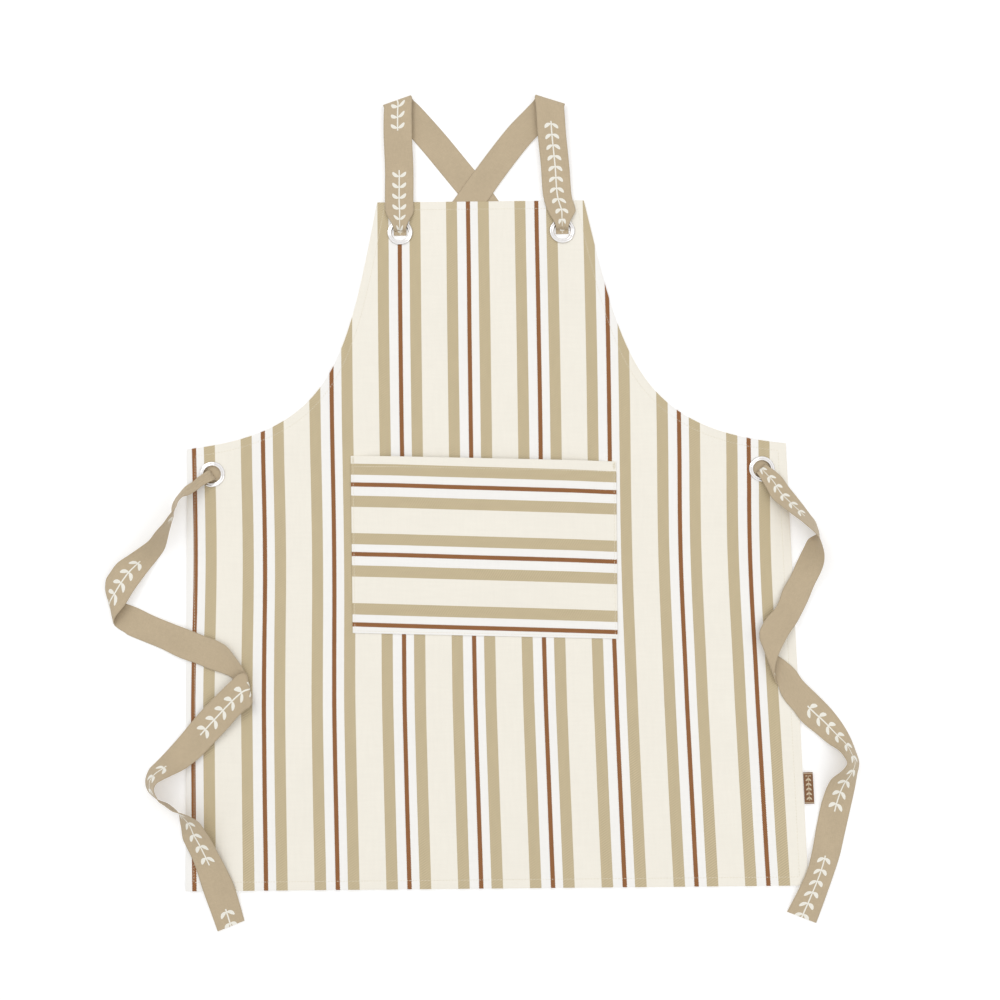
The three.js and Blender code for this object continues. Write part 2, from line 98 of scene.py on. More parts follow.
# ---- node helpers
class Nodes:
    """A material's node tree, with short ways to write its maths."""

    def __init__(self, name, roughness=0.9, sheen=0.0, metallic=0.0):
        self.material = bpy.data.materials.new(name)
        self.material.use_nodes = True
        self.tree = self.material.node_tree
        self.shader = self.tree.nodes["Principled BSDF"]
        self.shader.inputs["Roughness"].default_value = roughness
        self.shader.inputs["Metallic"].default_value = metallic
        if sheen:
            self.shader.inputs["Sheen Weight"].default_value = sheen
            self.shader.inputs["Sheen Roughness"].default_value = 0.5

    def put(self, socket, value):
        if hasattr(value, "links"):
            self.tree.links.new(value, socket)
        else:
            socket.default_value = value

    def node(self, kind, inputs=(), **settings):
        made = self.tree.nodes.new(kind)
        for key, value in settings.items():
            setattr(made, key, value)
        for key, value in dict(inputs).items():
            self.put(made.inputs[key], value)
        return made

    def m(self, operation, a, b=0.0, c=0.0):
        made = self.node("ShaderNodeMath", operation=operation)
        for socket, value in zip(made.inputs, (a, b, c)):
            self.put(socket, value)
        return made.outputs[0]

    def add(self, a, b):
        return self.m("ADD", a, b)

    def sub(self, a, b):
        return self.m("SUBTRACT", a, b)

    def mul(self, a, b):
        return self.m("MULTIPLY", a, b)

    def less(self, a, b):
        return self.m("LESS_THAN", a, b)

    def both(self, a, b):
        return self.m("MINIMUM", a, b)

    def either(self, a, b):
        return self.m("MAXIMUM", a, b)

    def size(self, a):
        return self.m("ABSOLUTE", a)

    def wave(self, a, period):
        """A sine of the given period, from -1 to 1."""
        return self.m("SINE", self.mul(a, 2 * math.pi / period))

    def fold(self, a, period):
        """a brought to within half a period of 0."""
        share = self.m("FRACT", self.add(self.mul(a, 1 / period), 0.5))
        return self.mul(self.sub(share, 0.5), period)

    def uv(self, layer):
        split = self.node("ShaderNodeSeparateXYZ", {0: self.node("ShaderNodeUVMap", uv_map=layer).outputs[0]})
        return split.outputs[0], split.outputs[1]

    def vector(self, x, y, z=0.0):
        return self.node("ShaderNodeCombineXYZ", {0: x, 1: y, 2: z}).outputs[0]

    def noise(self, vector, scale=1.0, detail=2.0, roughness=0.5):
        inputs = {"Vector": vector, "Scale": scale, "Detail": detail, "Roughness": roughness}
        return self.node("ShaderNodeTexNoise", inputs).outputs["Fac"]

    def grain(self, u, v, across, along, detail=2.0, roughness=0.5):
        """Noise that changes so many times a metre along each of u and v."""
        return self.noise(self.vector(self.mul(u, across), self.mul(v, along)), 1.0, detail, roughness)

    def place(self):
        return self.node("ShaderNodeTexCoord").outputs["Object"]

    def mix(self, share, a, b, blend="MIX"):
        made = self.node("ShaderNodeMix", data_type="RGBA", blend_type=blend)
        for i, value in ((0, share), (6, a), (7, b)):
            self.put(made.inputs[i], value)
        return made.outputs[2]

    def shade(self, colour, amount):
        """colour made lighter or darker: amount is a value round 1."""
        return self.mix(1.0, colour, self.vector(amount, amount, amount), "MULTIPLY")

    def finish(self, colour, height=None, distance=0.0003, strength=0.6, roughness=None):
        self.put(self.shader.inputs["Base Color"], colour)
        if roughness is not None:
            self.put(self.shader.inputs["Roughness"], roughness)
        if height is not None:
            bump = self.node("ShaderNodeBump", {"Height": height, "Strength": strength, "Distance": distance})
            self.tree.links.new(bump.outputs[0], self.shader.inputs["Normal"])
        return self.material


def rgb(*colour):
    """A display colour, each part from 11 to 255, as scene-linear values."""
    return (*(((part / 255 + 0.055) / 1.055) ** 2.4 for part in colour), 1.0)


IVORY = rgb(243, 238, 226)
WHITE_STRIPE = rgb(246, 244, 240)
TAUPE_BAND = rgb(199, 183, 149)
RUST = rgb(150, 99, 57)
TAPE_TAUPE = rgb(191, 173, 144)
PRINT_WHITE = rgb(244, 241, 230)
THREAD = rgb(236, 229, 210)
NICKEL_GREY = rgb(250, 248, 247)
LABEL_BROWN = rgb(134, 94, 60)
LABEL_CREAM = rgb(214, 198, 168)
FLOOR_WHITE = (0.78, 0.78, 0.78, 1)
FLOOR_GLOW = 0.3


def striped_cloth(name):
    """Woven cotton: an ivory plain weave, taupe twill bands and thin rust cords; u runs across them."""
    n = Nodes(name, roughness=0.92, sheen=0.12)
    u, v = n.uv("cloth")
    wander = n.grain(u, v, 12, 3)
    u = n.add(u, n.mul(n.sub(wander, 0.5), 0.0012))
    tooth = n.grain(u, v, 900, 900)
    k = n.fold(u, STRIPE_REPEAT * MM)
    rough_k = n.add(k, n.mul(n.sub(tooth, 0.5), 0.0006))
    cord_half = n.add(CORD_HALF, n.mul(n.wave(n.add(v, n.mul(k, 0.5)), 0.0019), 0.00028))
    cord = n.less(n.size(rough_k), cord_half)
    right = n.less(n.size(n.sub(rough_k, BAND_RIGHT)), BAND_HALF)
    left = n.less(n.size(n.add(rough_k, BAND_LEFT)), BAND_HALF)
    band = n.either(right, left)
    # yarns
    warp = n.wave(u, 0.00084)
    weft = n.wave(v, 0.00092)
    plain = n.mul(n.add(warp, weft), 0.5)
    twill = n.wave(n.sub(v, n.mul(u, 0.62)), 0.0028)
    rope = n.wave(n.add(v, n.mul(k, 0.9)), 0.0026)
    slub = n.grain(u, v, 260, 38, 3.0)
    slub_across = n.grain(u, v, 30, 340, 2.0)
    cloudy = n.grain(u, v, 14, 9, 2.0)
    fine = n.grain(u, v, 2600, 2600, 2.0)
    # colours
    soft = n.add(0.945, n.mul(cloudy, 0.05))
    yarn = n.add(n.mul(slub, 0.05), n.add(n.mul(slub_across, 0.04), n.mul(fine, 0.03)))
    ivory_amount = n.add(soft, n.sub(yarn, 0.03))
    between = n.less(n.size(n.sub(rough_k, WHITE_MIDDLE)), WHITE_HALF)
    ground = n.mix(between, IVORY, WHITE_STRIPE)
    ivory = n.shade(ground, n.add(ivory_amount, n.mul(plain, 0.014)))
    taupe_amount = n.add(0.90, n.add(n.mul(twill, 0.11), n.mul(slub, 0.14)))
    taupe = n.shade(TAUPE_BAND, taupe_amount)
    rust = n.shade(RUST, n.add(0.80, n.add(n.mul(rope, 0.34), n.mul(slub, 0.24))))
    colour = n.mix(cord, n.mix(band, ivory, taupe), rust)
    # relief
    flat = n.mul(plain, 0.35)
    ribs = n.mul(twill, 0.55)
    ropes = n.add(0.9, n.mul(rope, 0.5))
    height = n.mix(cord, n.mix(band, flat, ribs), ropes)
    height = n.add(height, n.mul(n.add(slub, slub_across), 0.8))
    return n.finish(colour, height, distance=0.00022, strength=0.5)


def tape_cloth(name, printed):
    """Taupe canvas tape with turned edges; the printed face has sprigs of white leaves."""
    n = Nodes(name, roughness=0.9, sheen=0.18)
    u, v = n.uv("cloth")  # u along the tape, v across it from its middle
    edge = n.size(v)
    warp = n.wave(v, 0.00078)
    weft = n.wave(u, 0.00088)
    fleck = n.grain(u, v, 150, 900, 3.0, 0.6)
    fleck_across = n.grain(u, v, 1100, 120, 2.0, 0.6)
    cloudy = n.grain(u, v, 22, 40, 3.0)
    fine = n.grain(u, v, 3000, 3000, 1.0)
    amount = n.add(n.mul(fleck, 0.22), n.add(n.mul(fleck_across, 0.18), n.mul(fine, 0.12)))
    amount = n.add(amount, n.add(n.mul(cloudy, 0.16), n.mul(n.add(warp, weft), 0.02)))
    rim = n.less(0.0158, edge)
    amount = n.sub(n.add(amount, 0.67), n.mul(rim, 0.06))
    colour = n.shade(TAPE_TAUPE, amount)
    height = n.add(n.mul(n.add(warp, weft), 0.3), n.add(n.mul(fleck, 0.9), n.mul(cloudy, 1.2)))
    height = n.add(height, n.mul(rim, 0.8))
    if printed:
        p, w = n.uv("print")
        ragged = n.mul(n.sub(n.grain(p, w, 1400, 1400, 2.0), 0.5), 0.0007)
        side = n.add(n.size(w), ragged)
        run = n.add(n.fold(n.sub(p, PRINT_RUN * MM / 2), PRINT_REPEAT * MM), PRINT_RUN * MM / 2)
        inside = n.both(n.less(0.001, run), n.less(run, (PRINT_RUN - 1) * MM))
        pitch = PRINT_RUN / 10 * MM
        along = n.fold(n.sub(run, pitch / 2), pitch)
        # two leaves to each pitch, one on each side of the stem, leaning along the tape
        a, b = n.add(along, 0.0004), n.sub(side, 0.0050)
        tip = n.add(n.mul(a, 0.62), n.mul(b, 0.78))
        belly = n.sub(n.mul(b, 0.62), n.mul(a, 0.78))
        bent = n.add(belly, n.mul(n.mul(tip, tip), 40.0))
        round_leaf = n.add(n.m("POWER", n.size(n.mul(tip, 1 / 0.0046)), 1.7),
                           n.m("POWER", n.size(n.mul(bent, 1 / 0.0021)), 2.0))
        leaf = n.less(round_leaf, 1.0)
        stem = n.less(side, 0.0008)
        ink = n.both(inside, n.either(leaf, stem))
        worn = n.less(n.grain(p, w, 700, 700, 3.0), 0.66)
        cover = n.mul(ink, n.add(0.8, n.mul(worn, 0.2)))
        colour = n.mix(cover, colour, n.shade(PRINT_WHITE, n.add(0.94, n.mul(fine, 0.08))))
        height = n.add(height, n.mul(ink, 0.5))
    return n.finish(colour, height, distance=0.0002, strength=0.55)


def thread_material():
    n = Nodes("sewing_thread", roughness=0.75, sheen=0.2)
    place = n.place()
    twist = n.noise(place, 2400.0, 2.0)
    colour = n.shade(THREAD, n.add(0.86, n.mul(twist, 0.24)))
    return n.finish(colour, twist, distance=0.0001, strength=0.5)


def nickel_material():
    """Polished nickel with faint brushing and blotches."""
    n = Nodes("polished_nickel", roughness=0.1, metallic=1.0)
    place = n.place()
    stretched = n.node("ShaderNodeMapping", {"Vector": place, "Scale": (260, 260, 2600)}).outputs[0]
    brushed = n.noise(stretched, 1.0, 3.0)
    blotch = n.noise(place, 180.0, 3.0)
    colour = n.shade(NICKEL_GREY, n.add(0.93, n.mul(blotch, 0.1)))
    roughness = n.add(0.05, n.mul(n.add(brushed, blotch), 0.06))
    return n.finish(colour, n.add(brushed, blotch), distance=0.00003, strength=0.25, roughness=roughness)


def label_material():
    """A brown damask label: a border and a row of small cream sprigs, woven."""
    n = Nodes("woven_label", roughness=0.7, sheen=0.1)
    u, v = n.uv("cloth")
    satin = n.wave(v, 0.0005)
    cross = n.wave(u, 0.0006)
    a = n.size(u)
    along = n.fold(v, 0.0052)
    leaf = n.add(n.m("POWER", n.mul(n.size(n.add(along, n.mul(a, 0.8))), 1 / 0.0013), 2.0),
                 n.m("POWER", n.mul(n.size(n.sub(a, 0.0017)), 1 / 0.0015), 2.0))
    stem = n.less(a, 0.0003)
    long_enough = n.less(n.size(v), 0.0140)
    ink = n.both(n.either(n.less(leaf, 1.0), stem), long_enough)
    border = n.both(n.less(0.0160, n.size(v)), n.less(n.size(v), 0.0166))
    ink = n.either(ink, border)
    grain = n.grain(u, v, 1500, 1500, 2.0)
    brown = n.shade(LABEL_BROWN, n.add(0.85, n.add(n.mul(grain, 0.25), n.mul(satin, 0.05))))
    cream = n.shade(LABEL_CREAM, n.add(0.85, n.mul(grain, 0.25)))
    height = n.add(n.add(satin, cross), n.mul(ink, 1.2))
    return n.finish(n.mix(ink, brown, cream), height, distance=0.00012, strength=0.5)


CLOTH = striped_cloth("striped_cotton")
POCKET_CLOTH = striped_cloth("striped_cotton_pocket")
TAPE_PRINTED = tape_cloth("tape_printed", True)
TAPE_PLAIN = tape_cloth("tape_plain", False)
STITCH = thread_material()
NICKEL = nickel_material()
LABEL = label_material()

# ---- stage and light
floor_nodes = Nodes("white_floor", roughness=0.75)
speckle = floor_nodes.noise(floor_nodes.place(), 3.0, 2.0)
speckle = floor_nodes.add(0.985, floor_nodes.mul(speckle, 0.02))
floor_nodes.finish(floor_nodes.shade(FLOOR_WHITE, speckle))
floor_nodes.shader.inputs["Emission Color"].default_value = (1, 1, 1, 1)
floor_nodes.shader.inputs["Emission Strength"].default_value = FLOOR_GLOW
floor_mesh = bpy.data.meshes.new("floor")
REACH = 6.0
corners = [(-REACH, -REACH, 0), (REACH, -REACH, 0), (REACH, REACH, 0), (-REACH, REACH, 0)]
floor_mesh.from_pydata(corners, [], [(0, 1, 2, 3)])
floor = bpy.data.objects.new("floor", floor_mesh)
floor_mesh.materials.append(floor_nodes.material)
bpy.context.collection.objects.link(floor)
floor.location.z = -0.0002

world = bpy.data.worlds.new("studio")
world.use_nodes = True
sky = world.node_tree
height = sky.nodes.new("ShaderNodeSeparateXYZ")
sky.links.new(sky.nodes.new("ShaderNodeTexCoord").outputs["Generated"], height.inputs[0])
ramp = sky.nodes.new("ShaderNodeValToRGB")
sky.links.new(height.outputs[2], ramp.inputs[0])
# (sine of the height above the horizon, brightness)
SKY = [(0.0, 0.08), (0.10, 0.12), (0.20, 0.50), (0.34, 0.84), (0.86, 0.90), (0.95, 1.0)]
SKY_STRENGTH = 0.99
while len(ramp.color_ramp.elements) < len(SKY):
    ramp.color_ramp.elements.new(0.5)
for element, (at, bright) in zip(ramp.color_ramp.elements, SKY):
    element.position = at
    element.color = (bright, bright, bright, 1)
sky.links.new(ramp.outputs[0], sky.nodes["Background"].inputs[0])
sky.nodes["Background"].inputs[1].default_value = SKY_STRENGTH
bpy.context.scene.world = world


def area_light(name, place, target, size, power):
    """A square light of the given side in metres, turned to the target."""
    data = bpy.data.lights.new(name, "AREA")
    data.shape = "SQUARE"
    data.size = size
    data.energy = power
    lamp = bpy.data.objects.new(name, data)
    lamp.location = place
    lamp.rotation_euler = (Vector(target) - Vector(place)).to_track_quat("-Z", "Y").to_euler()
    bpy.context.collection.objects.link(lamp)


area_light("softbox_key", (-1.3, 1.9, 2.1), (0, 0.45, 0), 1.0, 10.5)
area_light("softbox_fill", (1.8, -0.4, 2.2), (0, 0.4, 0), 1.6, 9)


# ---- mesh helpers
def make_object(name, points, faces, materials, face_slots=None, uvs=None, sharp=40):
    """points in millimetres; uvs is {layer: one (u, v) in metres for each point}; sharp in degrees."""
    mesh = bpy.data.meshes.new(name)
    mesh.from_pydata((np.asarray(points) * MM).tolist(), [], [list(map(int, f)) for f in faces])
    mesh.update()
    obj = bpy.data.objects.new(name, mesh)
    bpy.context.collection.objects.link(obj)
    for material in materials:
        mesh.materials.append(material)
    if face_slots is not None:
        mesh.polygons.foreach_set("material_index", np.asarray(face_slots, np.int32))
    mesh.polygons.foreach_set("use_smooth", np.ones(len(mesh.polygons), bool))
    mesh.set_sharp_from_angle(angle=math.radians(sharp))
    loops = np.empty(len(mesh.loops), np.int32)
    mesh.loops.foreach_get("vertex_index", loops)
    for layer, values in (uvs or {}).items():
        data = mesh.uv_layers.new(name=layer).data
        data.foreach_set("uv", np.asarray(values, float)[loops].ravel())
    return obj


def enter(piece, body, slot, *nodes):
    """Give a piece its body (None where it is blended) and hide the CAD nodes it replaces; slot is not used.
    """
    if body:
        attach(piece, body)
    if nodes[0]:
        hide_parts(*nodes)


def lengths(vectors):
    return np.linalg.norm(vectors, axis=1)


# ---- the cloth's outline
def bezier(t):
    """Points of the right-hand arm curve."""
    p = [np.array(q) for q in ARM]
    t = np.asarray(t)[:, None]
    s = 1 - t
    return s**3 * p[0] + 3 * s**2 * t * p[1] + 3 * s * t**2 * p[2] + t**3 * p[3]


def evenly(points, step, closed=True):
    """Points about a step apart along a line, keeping its corners."""
    out = []
    count = len(points)
    for i in range(count if closed else count - 1):
        a, b = points[i], points[(i + 1) % count]
        pieces = max(1, int(round(np.linalg.norm(b - a) / step)))
        out.extend(a + (b - a) * j / pieces for j in range(pieces))
    if not closed:
        out.append(points[-1])
    return np.array(out)


def panel_outline():
    """The front cloth's outline, anticlockwise from its bottom left corner."""
    arm = bezier(np.linspace(0, 1, 90))
    corners = [(-HALF_SKIRT, BOTTOM_Y), (HALF_SKIRT, BOTTOM_Y)]
    return evenly(np.vstack([corners, arm[::-1], arm * [-1, 1]]), 5.0)


def distance_to(points, line, closed=True):
    """Distance from each point to a polyline."""
    a, b = line, np.roll(line, -1, axis=0)
    if not closed:
        a, b = a[:-1], b[:-1]
    best = np.full(len(points), 1e9)
    for p, q in zip(a, b):
        d = q - p
        t = np.clip(((points - p) @ d) / max(d @ d, 1e-9), 0, 1)
        best = np.minimum(best, lengths(points - (p + t[:, None] * d)))
    return best


def inset(line, amount):
    """A closed anticlockwise outline moved inwards."""
    before, after = np.roll(line, 1, axis=0), np.roll(line, -1, axis=0)

    def normal(d):
        d = d / lengths(d)[:, None]
        return np.stack([-d[:, 1], d[:, 0]], axis=1)

    n0, n1 = normal(line - before), normal(after - line)
    middle = n0 + n1
    middle /= lengths(middle)[:, None]
    stretch = 1 / np.maximum((middle * n1).sum(1), 0.5)
    return line + middle * (amount * stretch)[:, None]


def sheet_mesh(outline, insets, spacing, holes=()):
    """A triangulated flat sheet: rings along its outline and round its holes, and a grid between."""
    loops = [outline] + [circle(x, y, EYELET_R) for x, y in holes]
    edges, count = [], 0
    for size in map(len, loops):
        edges += [(count + i, count + (i + 1) % size) for i in range(size)]
        count += size
    loops += [inset(outline, amount) for amount in insets]
    loops += [circle(x, y, EYELET_R + further) for x, y in holes for further in (1.5, 4, 7)]
    low, high = outline.min(0), outline.max(0)
    gx, gy = np.meshgrid(np.arange(low[0], high[0], spacing), np.arange(low[1], high[1], spacing))
    gx = gx + (np.arange(gx.shape[0]) % 2)[:, None] * spacing / 2
    grid = np.stack([gx.ravel(), gy.ravel()], axis=1)
    keep = distance_to(grid, outline) > max(insets) + spacing * 0.5
    keep &= inside(grid, outline)
    for x, y in holes:
        keep &= np.hypot(grid[:, 0] - x, grid[:, 1] - y) > EYELET_R + 9
    loops.append(grid[keep])
    points = np.vstack(loops)
    result = geometry.delaunay_2d_cdt([Vector(p) for p in points], edges, [], 1, 1e-6)
    points = np.array([tuple(p) for p in result[0]])
    faces = np.array([f for f in result[2] if len(f) == 3])
    centres = points[faces].mean(axis=1)
    good = inside(centres, outline)
    for x, y in holes:
        good &= np.hypot(centres[:, 0] - x, centres[:, 1] - y) > EYELET_R * 0.98
    faces = faces[good]
    a, b, c = (points[faces[:, i]] for i in range(3))
    flipped = np.cross(b - a, c - a) < 0
    faces[flipped] = faces[flipped][:, ::-1]
    used = np.unique(faces)
    renumber = np.full(len(points), -1)
    renumber[used] = np.arange(len(used))
    return points[used], renumber[faces]


def circle(x, y, r):
    at = np.linspace(0, 2 * math.pi, HOLE_POINTS, endpoint=False)
    return np.stack([x + r * np.cos(at), y + r * np.sin(at)], axis=1)


def inside(points, outline):
    """Whether each point is inside a closed outline."""
    x, y = points[:, 0], points[:, 1]
    result = np.zeros(len(points), bool)
    for (x0, y0), (x1, y1) in zip(outline, np.roll(outline, -1, axis=0)):
        if y0 == y1:
            continue
        crosses = (y0 > y) != (y1 > y)
        result ^= crosses & (x < (x1 - x0) * (y - y0) / (y1 - y0) + x0)
    return result


def closed_sheet(flat, faces, top, bottom):
    """Both faces of a sheet and the walls round its edges, as (points, faces)."""
    count = len(flat)
    points = np.vstack([np.column_stack([flat, top]), np.column_stack([flat, bottom])])
    out = [list(f) for f in faces] + [[f[2] + count, f[1] + count, f[0] + count] for f in faces]
    edges = dict.fromkeys((f[i], f[(i + 1) % 3]) for f in faces for i in range(3))
    out += [[b, a, a + count, b + count] for a, b in edges if (b, a) not in edges]
    return points, out


def soft_noise(x, y, size, seed):
    """Smooth noise from -1 to 1 made of a few crossed waves."""
    local = np.random.default_rng(seed)
    total = np.zeros_like(x)
    weight = 0
    for octave in range(3):
        share = 0.55**octave
        for _ in range(4):
            angle = local.uniform(0, math.pi)
            wavelength = size * local.uniform(0.7, 1.4) / 1.9**octave
            phase = local.uniform(0, 2 * math.pi)
            ahead = x * math.cos(angle) + y * math.sin(angle)
            total += share * np.sin(ahead * 2 * math.pi / wavelength + phase)
        weight += share * 4
    return total / weight * 1.8


def smooth(edge0, edge1, x):
    """An eased step from 0 at edge0 to 1 at edge1."""
    t = np.clip((x - edge0) / (edge1 - edge0), 0, 1)
    return t * t * (3 - 2 * t)


def skewed(points, skew=LAY_SKEW):
    """The points leant over a little, as the apron lies: y changes with x."""
    out = np.array(points, float)
    out[:, 1] += skew * out[:, 0]
    return out


def stripe_u(x, y):
    """Distance across the cloth, in metres, from the rust cord next to the middle."""
    lean_below = 1.4 * np.clip((200 - y) / 140, 0, 2) ** 1.2
    lean_above = 4.0 * np.clip((y - 200) / 540, 0, 2) ** 1.3
    lean = np.where(y < 200, lean_below, lean_above)
    drawn_in = 0.0065 * np.exp(-(((y - 370) / 110) ** 2))
    spread = (1 + 0.014 * smooth(300, 700, y)) * (0.994 - drawn_in)
    return (x + STRIPE_START - lean) / spread * MM


# ---- the apron's panel
HOLES = [(-BIB_EYELET[0], BIB_EYELET[1]), BIB_EYELET, (-SIDE_EYELET[0], SIDE_EYELET[1]), SIDE_EYELET]
OUTLINE = panel_outline()
PANEL_INSETS = (0.4, 0.9, 3, 6, 8.2, 9.0, 9.6, 10.2, 11.2, 14, 20)
BACK_LINES = []  # middle lines of the straps behind the bib, filled in by make_straps


def panel_top(x, y):
    """Height of the front cloth: on its hems and the straps behind it, and a little lower between."""
    points = np.stack([x, y], axis=1)
    edge = distance_to(points, OUTLINE)
    sag = smooth(HEM, HEM + 26, edge) * 0.55
    for line in BACK_LINES:
        near = distance_to(points, line, closed=False)
        sag *= smooth(16, 40, near)
    ripple = soft_noise(x, y, 190, 3) * 0.22 * smooth(12, 40, edge)
    groove = 0.16 * np.exp(-(((edge - SEAM_IN) / 0.7) ** 2))
    rounding = 0.34 * np.clip(1 - edge / 0.8, 0, 1) ** 2
    pucker = 0.05 * np.sin((x + y) / 3.1) * np.exp(-(((edge - SEAM_IN) / 3.0) ** 2))
    return CLOTH_TOP - sag + ripple * 0.6 - groove - rounding + pucker


def make_panel():
    flat, faces = sheet_mesh(OUTLINE, PANEL_INSETS, 7.0, HOLES)
    top = panel_top(flat[:, 0], flat[:, 1])
    points, faces = closed_sheet(flat, faces, top, top - CLOTH_THICKNESS)
    uv = np.column_stack([stripe_u(points[:, 0], points[:, 1]), points[:, 1] * MM])
    panel = make_object("apron_front", skewed(points), faces, [CLOTH], uvs={"cloth": uv})
    enter(panel, "apron", "striped_cotton", "apron_panel")
    return panel


# a hem cut across: (distance in from the cloth's edge, height)
HEM_PROFILE = [
    (0.0, 1.0), (0.05, 0.45), (0.35, 0.12), (1.5, 0.05), (6, 0.05), (9.0, 0.08), (9.6, 0.25), (10.2, 0.08),
    (10.8, 0.15), (11.0, 0.6), (10.9, 1.5), (9.0, 1.75), (5, 1.8), (1.5, 1.85), (0.4, 1.75), (0.05, 1.5),
]


def turned_hem(name, edge, inner, node, side=0):
    """The cloth turned under twice and sewn: a flat band with a rounded fold, under the panel.

    side is -1 or 1 for a hem along the stripes, where the fold mirrors them."""
    count = len(edge)
    wave = 0.05 * np.sin(np.arange(count) * 1.7)
    rows = []
    for share, z in HEM_PROFILE:
        rows.append(np.column_stack([edge + (inner - edge) * (share / HEM), z + wave * (z >= 1)]))
    wide = len(HEM_PROFILE)
    points = np.array(rows).reshape(-1, 3)
    faces = []
    for i in range(count - 1):
        for j in range(wide):
            k = (j + 1) % wide
            faces.append([j * count + i, k * count + i, k * count + i + 1, j * count + i + 1])
    faces.append([j * count for j in range(wide)][::-1])
    faces.append([j * count + count - 1 for j in range(wide)])
    across = np.repeat([share for share, _ in HEM_PROFILE], count)
    u = stripe_u(points[:, 0], points[:, 1]) + side * 2 * across * MM
    uv = np.column_stack([u, points[:, 1] * MM])
    points = skewed(points)
    faces = outward(points, faces)
    hem = make_object(name, points, faces, [CLOTH], uvs={"cloth": uv}, sharp=60)
    enter(hem, "apron", "striped_cotton", node)


def outward(points, faces):
    """A closed solid's faces, turned round if it is inside out."""
    volume = 0.0
    for f in faces:
        for i in range(1, len(f) - 1):
            volume += np.dot(points[f[0]], np.cross(points[f[i]], points[f[i + 1]]))
    return faces if volume > 0 else [f[::-1] for f in faces]


def tube(rings, sides, spans):
    """Quads between one ring of points and the next, for so many spans; the last ring meets the first."""
    faces = []
    for j in range(spans):
        k = (j + 1) % rings
        for i in range(sides):
            m = (i + 1) % sides
            faces.append([j * sides + i, j * sides + m, k * sides + m, k * sides + i])
    return faces


def both_faces(grid, other):
    """Quads of a sheet's upper and under faces by turns, from their grids of point numbers."""
    faces = []
    for i in range(grid.shape[0] - 1):
        for j in range(grid.shape[1] - 1):
            faces.append([grid[i, j], grid[i + 1, j], grid[i + 1, j + 1], grid[i, j + 1]])
            faces.append([other[i, j], other[i, j + 1], other[i + 1, j + 1], other[i + 1, j]])
    return faces


def straight(a, b, step=4.0):
    """Points about a step apart on a straight line."""
    a, b = np.array(a, float), np.array(b, float)
    count = max(2, int(np.linalg.norm(b - a) / step))
    return a + (b - a) * np.linspace(0, 1, count)[:, None]


def arm_line(amount, side, end=1.0):
    """The arm curve of one side moved into the cloth by an amount, down to a share of its length."""
    points = bezier(np.linspace(0.0, end, 110))
    d = np.gradient(points, axis=0)
    d /= lengths(d)[:, None]
    moved = points + np.stack([d[:, 1], -d[:, 0]], axis=1) * amount
    return moved * [side, 1]


def make_hems():
    for name, half, edge, inner, node in (
        ("hem_bottom", HEM_END, BOTTOM_Y, BOTTOM_Y + HEM, "bottom_hem"),
        ("hem_bib", BIB_END, TOP_Y, TOP_Y - HEM, "bib_top_hem"),
    ):
        turned_hem(name, straight((-half, edge), (half, edge)), straight((-half, inner), (half, inner)), node)
    for side, name in ((-1, "left"), (1, "right")):
        y0, y1 = BOTTOM_Y + HEM + 0.4, WAIST_Y - HEM - 2.2
        edge = side * HALF_SKIRT
        inner = edge - side * HEM
        turned_hem(f"hem_{name}_side", straight((edge, y0), (edge, y1)), straight((inner, y0), (inner, y1)),
                   f"{name}_side_hem", side)
        turned_hem(f"hem_{name}_arm", arm_line(0, side), arm_line(HEM, side), f"{name}_arm_hem")


# ---- stitches
def stitches(name, line, height, node, length=2.7, gap=0.7):
    """Separate lockstitches along a line of (x, y), each a thread that dips into the cloth at its ends."""
    steps = lengths(np.diff(line, axis=0))
    s = np.concatenate([[0], np.cumsum(steps)])
    count = int(s[-1] / (length + gap))
    at = np.arange(count) * (length + gap) + gap
    share = np.array([0.0, 0.12, 0.35, 0.65, 0.88, 1.0])
    radius = np.array([0.05, 0.20, 0.26, 0.26, 0.20, 0.05])
    rise = np.array([-0.30, -0.02, 0.10, 0.10, -0.02, -0.30])
    sides = 6
    ring = np.linspace(0, 2 * math.pi, sides, endpoint=False)
    mids_s = (at[:, None] + share[None, :] * length).ravel()
    x, y = np.interp(mids_s, s, line[:, 0]), np.interp(mids_s, s, line[:, 1])
    z = height(x, y).reshape(count, -1) + rise[None, :]
    x, y = x.reshape(count, -1), y.reshape(count, -1)
    jog = rng.uniform(-0.06, 0.06, count)
    faces = tube(len(share), sides, len(share) - 1)
    faces.append(list(range(sides))[::-1])
    faces.append([(len(share) - 1) * sides + k for k in range(sides)])
    threads = []
    for i in range(count):
        d = np.array([x[i, -1] - x[i, 0], y[i, -1] - y[i, 0]])
        d /= max(np.linalg.norm(d), 1e-9)
        side = np.array([-d[1], d[0]])
        off = np.outer(radius, np.cos(ring)) + jog[i]
        up = np.outer(radius, np.sin(ring)) * 0.8
        middle = np.stack([x[i], y[i], z[i]], axis=1)[:, None]
        threads.append((middle + np.stack([side[0] * off, side[1] * off, up], axis=2)).reshape(-1, 3))
    faces = outward(threads[0], faces)
    points = np.vstack(threads)
    faces = [[i + k * len(threads[0]) for i in face] for k in range(count) for face in faces]
    made = make_object(name, skewed(points), faces, [STITCH], sharp=75)
    enter(made, "apron", "thread", node)


